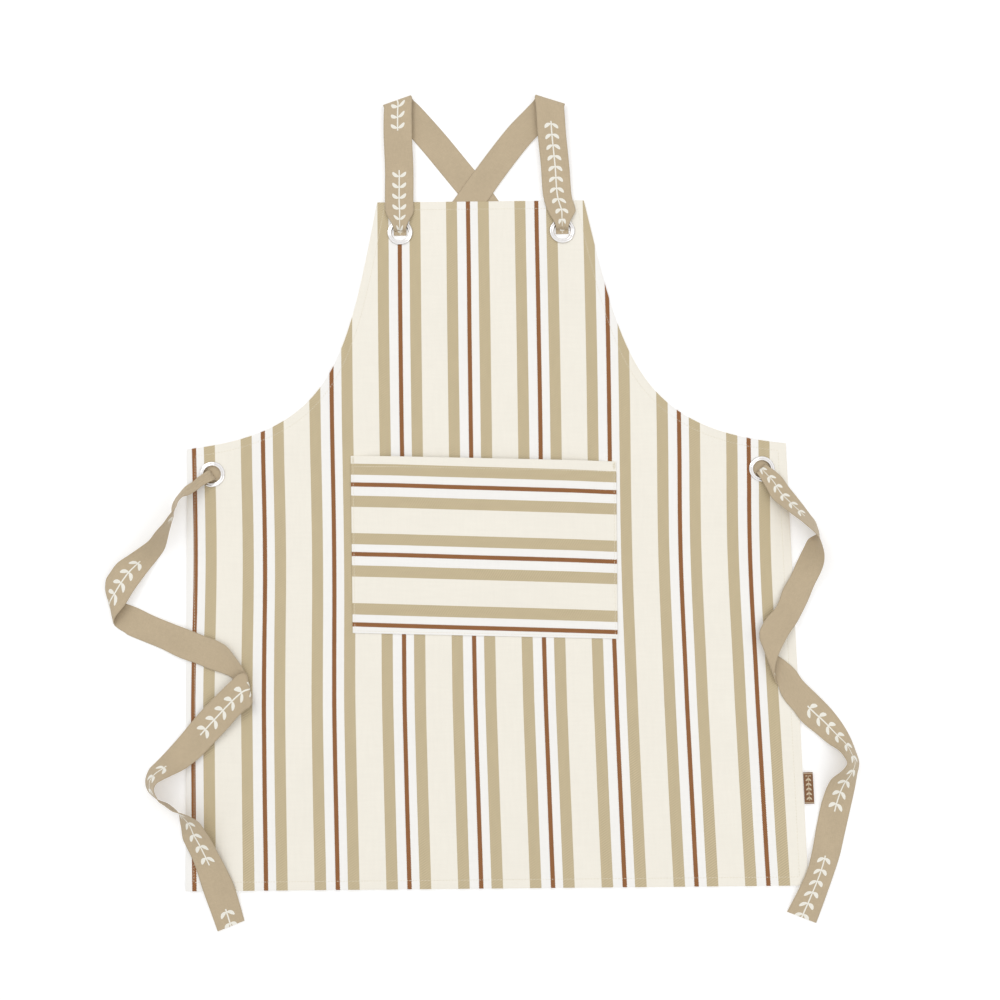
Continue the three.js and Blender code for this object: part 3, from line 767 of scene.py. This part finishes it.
def make_seams():
    b, t = BOTTOM_Y + SEAM_IN, TOP_Y - SEAM_IN
    side_in = HALF_SKIRT - SEAM_IN
    stitches("seam_bottom", straight((-side_in, b), (side_in, b), 1.0), panel_top, "bottom_hem_stitching")
    stitches("seam_bib", straight((-113, t), (113, t), 1.0), panel_top, "bib_top_hem_stitching")
    for side, name in ((-1, "left"), (1, "right")):
        line = straight((side * side_in, b), (side * side_in, WAIST_Y - SEAM_IN + 0.5), 1.0)
        stitches(f"seam_{name}_side", line, panel_top, f"{name}_side_hem_stitching")
        line = arm_line(SEAM_IN, side, 0.985)
        stitches(f"seam_{name}_arm", line, panel_top, f"{name}_arm_hem_stitching")


# ---- the pocket
POCKET_SKEW = -0.0465
POCKET_LEFT = -158.5
POCKET_RIGHT_LOW, POCKET_RIGHT_HIGH = 145.5, 151.0
POCKET_LOW, POCKET_MOUTH = 277.0, 483.0
POCKET = np.array([(POCKET_LEFT, POCKET_LOW), (POCKET_RIGHT_LOW, POCKET_LOW),
                   (POCKET_RIGHT_HIGH, POCKET_MOUTH), (POCKET_LEFT, POCKET_MOUTH)])
POCKET_STRIPE_Y, POCKET_STRIPE_LEAN = 285.8, 0.0085
POCKET_SEAM_IN = 2.6
MOUTH_SEAM_IN = 12.2
MOUTH_HEM = (14.6, 13.2)  # the double cloth at the mouth ends between these distances from it
POCKET_INSETS = (0.4, 0.9, 2.0, 2.6, 3.2, 4.5, 8, 11.6, 12.2, 12.8, 14)


def pocket_edges(x, y):
    """Distances to the pocket's sewn sides and to its open mouth."""
    points = np.stack([x, y], axis=1)
    sewn = distance_to(points, POCKET[[3, 0, 1, 2]], closed=False)
    return sewn, POCKET_MOUTH - y


def pocket_top(x, y):
    """Height of the pocket's cloth: puffed in the middle and looser at its mouth."""
    sewn, mouth = pocket_edges(x, y)
    base = 3.95
    puff = smooth(POCKET_SEAM_IN, 60, sewn) * 3.4
    loose = smooth(0, 36, sewn) * np.exp(-np.clip(mouth, 0, 400) / 60) * 1.0
    ripple = soft_noise(x, y, 120, 11) * 0.35 * smooth(5, 60, sewn)
    groove = 0.22 * np.exp(-(((sewn - POCKET_SEAM_IN) / 0.7) ** 2))
    band = 0.18 * smooth(*MOUTH_HEM, mouth)
    groove += 0.14 * np.exp(-(((mouth - MOUTH_SEAM_IN) / 0.6) ** 2))
    rounding = 0.34 * np.clip(1 - np.minimum(sewn, mouth) / 0.8, 0, 1) ** 2
    return base + puff + loose + ripple + band - groove - rounding


def make_pocket():
    flat, faces = sheet_mesh(evenly(POCKET, 4.0), POCKET_INSETS, 5.0)
    top = pocket_top(flat[:, 0], flat[:, 1])
    doubled = smooth(*MOUTH_HEM, POCKET_MOUTH - flat[:, 1])
    points, faces = closed_sheet(flat, faces, top, top - CLOTH_THICKNESS * (1 + doubled))
    across = points[:, 1] - POCKET_STRIPE_Y + POCKET_STRIPE_LEAN * points[:, 0]
    uvs = {"cloth": np.column_stack([across * MM, points[:, 0] * MM])}
    pocket = make_object("pocket_cloth", skewed(points, POCKET_SKEW), faces, [POCKET_CLOTH], uvs=uvs)
    enter(pocket, "apron", "striped_cotton", "pocket")


def pocket_seams():
    left, right = POCKET_LEFT + POCKET_SEAM_IN, POCKET_RIGHT_HIGH - POCKET_SEAM_IN
    right_low, low, high = POCKET_RIGHT_LOW - POCKET_SEAM_IN, POCKET_LOW + POCKET_SEAM_IN, POCKET_MOUTH - 1
    sides = evenly(np.array([(left, high), (left, low), (right_low, low), (right, high)]), 1.0, closed=False)
    seam_y = POCKET_MOUTH - MOUTH_SEAM_IN
    mouth = straight((POCKET_LEFT + 4, seam_y), (POCKET_RIGHT_HIGH - 4, seam_y), 1.0)

    def lay(line):
        """Lines are skewed by the pocket's own lean here, less the lean that stitches() adds."""
        out = line.copy()
        out[:, 1] += (POCKET_SKEW - LAY_SKEW) * line[:, 0]
        return out

    def height(x, y):
        return pocket_top(x, y - (POCKET_SKEW - LAY_SKEW) * x)

    stitches("seam_pocket_sides", lay(sides), height, "pocket_stitching")
    stitches("seam_pocket_mouth", lay(mouth), height, None)
    for k, x in enumerate((left, right)):  # bar tacks at the ends of the mouth
        y = np.linspace(474.5, 481.8, 40)
        zigzag = np.stack([x + 1.3 * np.sign(np.sin(np.arange(40) * 1.6)), y], axis=1)
        line = lay(evenly(zigzag, 0.8, closed=False))
        stitches(f"tack_pocket_{k}", line, height, None, length=2.2, gap=0.2)


# ---- eyelets
def lathe(name, profile, x, y, node, count=96):
    """A metal ring about (x, y): a closed profile of (radius, height) turned round."""
    at = np.linspace(0, 2 * math.pi, count, endpoint=False)
    r, z = np.array(profile).T
    y = y + LAY_SKEW * x
    rings = (x + np.outer(r, np.cos(at)), y + np.outer(r, np.sin(at)), np.outer(z, np.ones(count)))
    points = np.stack(rings, axis=2)
    points = points.reshape(-1, 3)
    faces = outward(points, tube(len(profile), count, len(profile)))
    made = make_object(name, points, faces, [NICKEL], sharp=50)
    enter(made, "apron", "nickel", node)


def make_eyelets():
    names = ("bib_left", "bib_right", "side_left", "side_right")
    crown = [(9.8, 1.25), (10.1, 1.2), (10.15, 3.0), (10.2, 3.3), (14.6, 3.3), (15.0, 3.4)]
    # two rolled rings, one inside the other
    for middle, half, foot, rise in ((13.7, 1.35, 3.5, 1.05), (11.15, 0.95, 3.6, 0.75)):
        for k in range(11):
            a = math.pi * (k + 0.5) / 11
            crown.append((middle + half * math.cos(a), foot + rise * math.sin(a)))
    crown += [(10.0, 3.4), (9.85, 3.1), (9.8, 2.0)]
    washer = [(10.35, 1.3), (10.6, 1.2), (15.2, 1.22), (15.5, 1.4), (15.4, 1.8), (12.9, 1.95), (10.5, 1.85)]
    for name, (x, y) in zip(names, HOLES):
        lathe(f"nickel_eyelet_{name}", crown, x, y, f"eyelet_{name}")
        lathe(f"nickel_washer_{name}", washer, x, y, f"washer_{name}")


# ---- tapes
def catmull(points, t):
    """The centripetal Catmull-Rom curve that the CAD's tapes follow, at station numbers t."""
    count = len(points)
    line = np.vstack([2 * points[0] - points[1], points, 2 * points[-1] - points[-2]])
    i = np.minimum(np.floor(t).astype(int), count - 2)
    w = (t - i)[:, None]
    p = [line[i + k] for k in range(4)]
    d = [np.maximum(((p[k + 1] - p[k]) ** 2).sum(1), 1e-12)[:, None] ** 0.25 for k in range(3)]
    d[1] = np.where(d[1] < 1e-4, 1.0, d[1])
    d[0] = np.where(d[0] < 1e-4, d[1], d[0])
    d[2] = np.where(d[2] < 1e-4, d[1], d[2])
    t1 = ((p[1] - p[0]) / d[0] - (p[2] - p[0]) / (d[0] + d[1]) + (p[2] - p[1]) / d[1]) * d[1]
    t2 = ((p[2] - p[1]) / d[1] - (p[3] - p[1]) / (d[1] + d[2]) + (p[3] - p[2]) / d[2]) * d[1]
    return p[1] + t1 * w + (3 * (p[2] - p[1]) - 2 * t1 - t2) * w**2 + (2 * (p[1] - p[2]) + t1 + t2) * w**3


# a tape cut across: places from edge to edge, and half the thickness there, with turned and sewn edges
TAPE_SHARES = np.array([0, 0.012, 0.035, 0.07, 0.13, 0.2, 0.28, 0.36, 0.43,
                        0.5, 0.57, 0.64, 0.72, 0.8, 0.87, 0.93, 0.965, 0.988, 1])
TAPE_HALVES = np.array([0.16, 0.34, 0.44, 0.43] + [0.36] * 11 + [0.43, 0.44, 0.34, 0.16])


def tape(name, stations, body, nodes, print_at, seed, calm=0.0):
    """A sewn tape along its stations, with gathers where it is squeezed.

    Face A is printed and face B is plain. print_at is (distance along, place in the print's repeat)."""
    stations = np.array([(*station, 0)[:7] for station in stations], float)
    edges = stations[:, :3], stations[:, 3:6]
    last = len(stations) - 1
    rough = np.linspace(0, last, last * 12 + 1)
    middle = sum(catmull(edge, rough) for edge in edges) / 2
    s = np.concatenate([[0], np.cumsum(lengths(np.diff(middle, axis=0)))])
    rows = int(s[-1] / TAPE_STEP)
    along = np.linspace(0, s[-1], rows)
    t = np.interp(along, s, rough)
    a, b = (catmull(edge, t) for edge in edges)
    eps = 0.002 * last
    ahead, behind = np.minimum(t + eps, last), np.maximum(t - eps, 0)
    heading = sum(catmull(edge, ahead) - catmull(edge, behind) for edge in edges)
    across = b - a
    width = lengths(across)
    normal = np.cross(heading, across)
    normal /= lengths(normal)[:, None]
    bow = np.interp(t, np.arange(last + 1), stations[:, 6])
    share, half = TAPE_SHARES, TAPE_HALVES
    squeeze = np.clip(1 - width / TAPE_WIDTH, 0, 0.6)[:, None]
    gather = squeeze * 0.8 * np.cos(share * 2 * math.pi * 2.5) * np.sin(share * math.pi) ** 0.5
    sx, sy = np.meshgrid(along, share * TAPE_WIDTH, indexing="ij")
    ripple = soft_noise(sx, sy * 1.3, 55, seed) * 0.16 + soft_noise(sx, sy * 2.0, 18, seed + 50) * 0.05
    lift = bow[:, None] * (1 - (2 * share - 1) ** 2) + gather + ripple * (1 - calm)
    middle = a[:, None] + across[:, None] * share[:, None] + normal[:, None] * lift[..., None]
    thick = normal[:, None] * half[:, None]
    top, under = middle + thick, middle - thick
    # nothing goes through the surface the tape lies on
    lift = np.maximum(0.04 - np.minimum(top[..., 2], under[..., 2]), 0)
    top[..., 2] += lift
    under[..., 2] += lift
    wide = len(share)
    points = np.vstack([top.reshape(-1, 3), under.reshape(-1, 3)])
    grid = np.arange(rows * wide).reshape(rows, wide)
    other = grid + rows * wide
    faces = both_faces(grid, other)
    slots = [0, 1] * (len(faces) // 2)
    for i in range(rows - 1):
        faces.append([grid[i, 0], other[i, 0], other[i + 1, 0], grid[i + 1, 0]])
        faces.append([grid[i, -1], grid[i + 1, -1], other[i + 1, -1], other[i, -1]])
    for j in range(wide - 1):
        faces.append([grid[0, j], grid[0, j + 1], other[0, j + 1], other[0, j]])
        faces.append([grid[-1, j], other[-1, j], other[-1, j + 1], grid[-1, j + 1]])
    slots += [1] * (len(faces) - len(slots))
    faces = outward(points, faces)
    v = (share - 0.5) * TAPE_WIDTH
    uvs = {}
    for layer, u in (("cloth", along), ("print", np.interp(along, *np.array(print_at, float).T))):
        uv = np.stack(np.meshgrid(u, v, indexing="ij"), axis=2).reshape(-1, 2) * MM
        uvs[layer] = np.vstack([uv, uv])
    made = make_object(name, points, faces, [TAPE_PRINTED, TAPE_PLAIN], slots, uvs, sharp=80)
    enter(made, body, "cotton_tape", *nodes)
    return made, s[-1]


def flat_run(line):
    """Stations of a tape lying flat, face A down, along a middle line of (x, y, z, width)."""
    line = np.array(line, float)
    d = np.gradient(line[:, :2], axis=0)
    d /= lengths(d)[:, None]
    w = np.stack([d[:, 1], -d[:, 0]], axis=1)
    a = line[:, :2] - w * line[:, 3:4] / 2
    b = line[:, :2] + w * line[:, 3:4] / 2
    return [(*p, z, *q, z) for p, q, z in zip(a, b, line[:, 2])]


# stations of the tapes: their two edges, (x, y, z, x, y, z), and how far the middle bows out if it does
LEFT_TIE = [
    (-316, 466, 1.4, -323, 478, 1.4), (-317, 466, 4.6, -324, 478, 4.6),
    (-320, 464, 9, -328, 475, 6.2), (-329, 459, 12, -337, 469, 5.4),
    (-337, 452, 15, -343, 464, 5.3), (-344, 447, 20, -351, 459, 5.3),
    (-350, 444, 26, -358, 451, 5), (-354, 438, 30, -363, 445, 3.8),
    (-356, 432, 31.6, -367, 438, 2.2, 1), (-359, 428, 32, -368, 431, 1.2, 2),
    (-364, 422, 32, -366, 426, 0.8, 2), (-370, 414, 31, -368, 417, 0.8, 1),
    (-379, 405, 29, -371, 405, 0.8), (-388, 395, 25, -376, 387, 0.8),
    (-401, 387, 19, -384, 375, 1.5), (-415, 379, 14, -393, 363, 4),
    (-428, 371, 11, -402, 350, 6.5), (-436, 361, 9.8, -410, 338, 8.6),
    (-441, 353, 9.4, -419, 323, 9.2), (-442, 346, 9, -430, 309, 9.2),
    (-443, 341, 4.9, -433, 303, 4.9), (-442, 335, 1.2, -432, 299, 1.2),
    (-431, 329, 1, -427, 295, 0.9), (-421, 325, 0.9, -422, 292, 0.8),
    (-408, 320, 0.9, -418, 289, 0.8), (-388, 310, 1.8, -400, 281, 1.2),
    (-367, 301, 3.4, -379, 272, 2), (-347, 293, 5.4, -357, 261, 3.8),
    (-328, 285, 6, -338, 254, 4.8), (-313, 279, 6.5, -322, 247, 4.6),
    (-302, 272, 7.5, -308, 242, 4.4), (-295, 263, 8, -299, 238, 4.2),
    (-289, 255, 8, -289, 227, 4.2), (-284, 247, 7, -282, 217, 4.2),
    (-281, 242, 5, -277, 211, 4.2), (-279, 239, 8.4, -273, 209, 8.2),
    (-280, 241, 12.2, -274, 205, 12.2), (-287, 241, 12.2, -277, 202, 12),
    (-297, 233, 11.4, -281, 200, 11), (-308, 223, 10.4, -288, 194, 10),
    (-326, 206, 8, -302, 179, 8.6), (-343, 188, 5.4, -318, 163, 7),
    (-358, 171, 2.4, -333, 148, 7), (-372, 156, 1, -349, 136, 10, 1),
    (-385, 143, 0.8, -363, 129, 18, 1), (-392, 136, 0.8, -371, 125, 25, 1),
    (-396, 126, 0.8, -377, 121, 30, 1), (-396, 118, 0.8, -379, 116, 32),
    (-393, 111, 0.8, -378, 111, 33), (-388, 106, 0.8, -376, 107, 33),
    (-381, 101, 0.8, -373, 102, 33), (-371, 97, 0.8, -366, 97, 33),
    (-363, 91, 0.8, -358, 91, 32), (-358, 85, 0.8, -351, 89, 31),
    (-357, 78, 0.8, -341, 85, 28), (-355, 69, 1.8, -331, 78, 24),
    (-353, 58, 3.4, -325, 68, 19), (-348, 48, 4.7, -319, 57, 14),
    (-342, 36, 4.6, -312, 42, 10), (-335, 17, 4.4, -303, 24, 7),
    (-329, -2, 4.2, -295, 6, 5.4), (-321, -25, 2, -289, -15, 2.4),
    (-314, -45, 0.8, -284, -34, 0.8),
]
RIGHT_TIE = [
    (314, 458, 1.4, 325, 468, 1.4), (314, 458, 4.6, 325, 468, 4.6),
    (318, 451, 6.4, 331, 463, 6.4), (323, 441, 9, 342, 453, 6.2),
    (329, 427, 13, 350, 441, 5.6), (338, 417, 19, 359, 429, 4.8),
    (347, 408, 25, 367, 419, 2.5), (357, 399, 29, 374, 409, 1),
    (365, 391, 31, 380, 400, 0.8, 1), (371, 385, 32.5, 382, 393, 0.8, 1),
    (375, 380, 33, 383, 387, 0.8, 1), (378, 374, 32, 378, 384, 0.8, 1),
    (381, 366, 29, 371, 380, 0.8), (383, 358, 24, 365, 370, 0.8),
    (383, 349, 18, 360, 361, 0.8), (380, 339, 12, 354, 350, 2.2),
    (373, 325, 7.5, 347, 337, 5.2), (366, 309, 5, 338, 323, 6),
    (357, 293, 6.5, 329, 303, 7.6), (350, 282, 8, 316, 289, 8.6),
    (342, 272, 9.4, 309, 278, 9.6), (335, 261, 10.4, 307, 273, 10.4),
    (328, 248, 10.8, 307, 271, 10.8), (324, 237, 10.8, 307, 269, 10.8),
    (322, 225, 10.6, 307, 267, 10.6), (324, 216, 7.5, 308, 266, 7.5),
    (326, 214, 4.2, 310, 265, 4.2), (327, 212, 4.2, 319, 255, 4.2),
    (328, 208, 4.2, 329, 246, 4.2), (330, 202, 4.2, 338, 239, 4.2),
    (334, 195, 4.2, 348, 229, 4.2), (342, 185, 4.3, 355, 218, 4.2),
    (352, 171, 4.2, 372, 200, 4.2), (368, 157, 3, 387, 184, 1.4),
    (380, 146, 6, 399, 167, 0.8, 1), (389, 139, 15, 407, 151, 0.8, 2),
    (393, 132, 24, 412, 136, 0.8, 2), (395, 125, 28, 415, 124, 0.8, 2),
    (390, 117, 25, 412, 110, 0.8, 2), (379, 106, 14, 408, 93, 0.8, 1),
    (371, 85, 4, 402, 72, 0.8), (363, 55, 1.4, 394, 44, 0.8),
    (356, 28, 4.2, 387, 20, 0.8), (349, 6, 4.6, 379, 0, 1.6),
    (337, -17, 4.2, 369, -24, 1.6), (325, -39, 0.8, 357, -52, 0.8),
]
# (distance along the tie, place in the print's repeat)
LEFT_PRINT = [(0, -131), (84, -47), (137, 0), (482, 313), (531, 360), (678, 493), (728, 540), (748, 560)]
RIGHT_PRINT = [(0, 54), (79, 133), (280, 313), (334, 360), (479, 493), (527, 540), (602, 615)]


def front_tab(x, y):
    """From the eyelet's hole up to the bib's edge, printed face up."""
    rows = [(2.5, 7.6, 1.2), (3.5, 7.6, 4.6), (6.5, 8, 6.0), (11.5, 10, 6.0), (17, 13, 5.7), (24, 16.4, 4.6)]
    y = y + LAY_SKEW * x
    return [(x + half, y + dy, z, x - half, y + dy, z) for dy, half, z in rows]


LEFT_OVER = [
    (-80, 797.5, 4.5, -114, 797.5, 4.5), (-79.3, 835, 5.2, -113.3, 835, 5.2),
    (-80.3, 880, 6, -114.3, 880, 6), (-79.9, 914, 6.2, -113.9, 903, 6.2),
    (-79.4, 924.8, 6.1, -113.4, 913.2, 6.1), (-80.8, 929.2, 3.3, -114.8, 917.6, 3.3),
    (-78.8, 924.8, 0.9, -112.8, 913.2, 0.9), (-71, 916.6, 0.5, -104, 904, 0.5),
    (-43.8, 883.8, 0.5, -70.8, 863.2, 0.5), (-17, 848.6, 0.45, -44, 828, 0.45),
]
RIGHT_OVER = [
    (109.3, 797.5, 4.5, 75.3, 797.5, 4.5), (107.4, 835, 5.4, 73.4, 835, 5.4),
    (104.6, 876, 6.6, 70.6, 876, 6.6), (103.8, 898, 7, 69.4, 910, 7),
    (103.4, 909, 7, 68.4, 921.4, 7), (104.6, 913.4, 4.2, 69.6, 925.6, 4.2),
    (103, 909, 1.45, 68.4, 921.4, 1.45), (94, 899, 1.4, 60.5, 912.2, 1.4),
    (63.5, 867.5, 1.4, 36.5, 887.5, 1.4), (35.4, 832.4, 1.4, 8.4, 852.4, 1.4),
]
# the straps behind the bib, as middle lines of (x, y, z, width)
LEFT_BEHIND = [
    (0, 797.5, 0.45, 34), (11, 781, 0.45, 34), (40, 742, 0.45, 34), (75, 690, 0.45, 34),
    (105, 640, 0.45, 34), (138, 588, 0.45, 34), (180, 535, 0.45, 34), (232, 493, 0.45, 34),
    (280, 473, 0.45, 31), (312, 465, 0.45, 26), (325, 462, 0.45, 22), (332, 460, 0.45, 16),
]
RIGHT_BEHIND = [
    (-11, 797.5, 1.4, 34), (-23, 781, 1.4, 34), (-51, 742, 0.9, 34), (-80, 690, 0.45, 34),
    (-108, 640, 0.45, 34), (-140, 588, 0.45, 34), (-180, 535, 0.45, 34), (-232, 493, 0.45, 34),
    (-280, 474, 0.45, 31), (-312, 472, 0.45, 26), (-325, 471, 0.45, 22), (-332, 470, 0.45, 16),
]
# (distance along the strap, place in the print's repeat)
LEFT_STRAP_PRINT = [(0, 55), (600, 655)]
RIGHT_STRAP_PRINT = [(0, 137.5), (600, -462.5)]


def make_straps():
    for name, x, over, behind, marks, seed in (
        ("left", -BIB_EYELET[0], LEFT_OVER, LEFT_BEHIND, LEFT_STRAP_PRINT, 21),
        ("right", BIB_EYELET[0], RIGHT_OVER, RIGHT_BEHIND, RIGHT_STRAP_PRINT, 22),
    ):
        stations = front_tab(x, BIB_EYELET[1]) + over + flat_run(behind)
        nodes = [f"{name}_strap_front", f"{name}_shoulder_strap", f"back_strap_from_{name}"]
        piece, length = tape(f"strap_{name}", stations, None, nodes, marks, seed, calm=0.5)
        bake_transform(piece)
        BACK_LINES.append(np.array(behind)[:, :2])
    for side, name in ((-1, "left"), (1, "right")):
        x, y = side * BIB_EYELET[0], BIB_EYELET[1]
        y += LAY_SKEW * x
        rows = [(-3, 7.5), (6, 8), (13, 11), (19, 16), (24.0, 17)]
        stations = [(x + h, y + dy, 0.45, x - h, y + dy, 0.45) for dy, h in rows]
        marks = [(0, 0), (100, 100)]
        nodes = [f"{name}_strap_sewn_end"]
        piece, length = tape(f"strap_end_{name}", stations, "apron", nodes, marks, 31, calm=0.8)


def make_ties():
    for name, stations, marks, count, seed in (
        ("left", LEFT_TIE, LEFT_PRINT, 7, 41),
        ("right", RIGHT_TIE, RIGHT_PRINT, 6, 42),
    ):
        nodes = [f"{name}_tie_{i + 1}" for i in range(count)]
        piece, length = tape(f"tie_{name}", stations, f"{name}_tie", nodes, marks, seed)


# ---- label
def make_label():
    x0, x1, y0, y1 = LABEL_BOX
    nx, ny = 12, 30
    xs, ys = np.linspace(x0, x1, nx), np.linspace(y0, y1, ny)
    gx, gy = np.meshgrid(xs, ys, indexing="ij")
    t = (gx - x0) / (x1 - x0)
    curl = 0.5 * t**2 + 0.12 * np.sin((gy - y0) / (y1 - y0) * math.pi * 1.5)
    top = CLOTH_TOP - 0.15 + curl
    thin = 0.75 * np.sqrt(np.clip(1 - t**6, 0.12, 1))
    points = np.vstack([np.stack([gx, gy, z], axis=2).reshape(-1, 3) for z in (top, top - thin)])
    grid = np.arange(nx * ny).reshape(nx, ny)
    other = grid + nx * ny
    faces = both_faces(grid, other)
    ring = list(grid[:, 0]) + list(grid[-1, 1:]) + list(grid[-2::-1, -1]) + list(grid[0, -2:0:-1])
    for k, a in enumerate(ring):
        b = ring[(k + 1) % len(ring)]
        faces.append([b, a, a + nx * ny, b + nx * ny])
    faces = outward(points, faces)
    uv = np.column_stack([points[:, 0] - (x0 + x1) / 2, points[:, 1] - (y0 + y1) / 2]) * MM
    label = make_object("label_woven", points, faces, [LABEL], uvs={"cloth": uv}, sharp=60)
    enter(label, "side_label", "woven_label", "side_label")


make_straps()
make_ties()
panel = make_panel()
make_hems()
make_seams()
make_pocket()
pocket_seams()
make_eyelets()
make_label()
